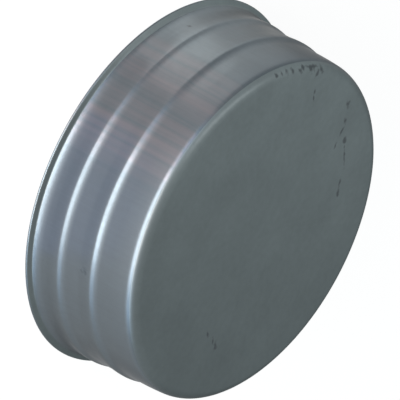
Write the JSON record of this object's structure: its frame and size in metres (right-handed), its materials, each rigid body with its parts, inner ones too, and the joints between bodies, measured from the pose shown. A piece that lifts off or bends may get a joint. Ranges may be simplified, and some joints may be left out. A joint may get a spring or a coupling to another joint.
{
  "type": "duct end cap",
  "caption": "Round sheet-metal cup with a flat closed face, rolled beads round its skirt and a flared rim; pushed into the end of a round duct to close it.",
  "frame": {"origin": "centre of the rim's cut edge, on the surface that the cap stands on", "axes": "+Z along the cap's axis, from the open rim to the closed face"},
  "size_m": [0.1289, 0.1288, 0.043],
  "materials": {
    "sheet": "bare zinc-coated sheet, satin, with fine draw lines along the skirt"
  },
  "bodies": {
    "root": {"end_cap": "sheet"}
  },
  "joints": []
}
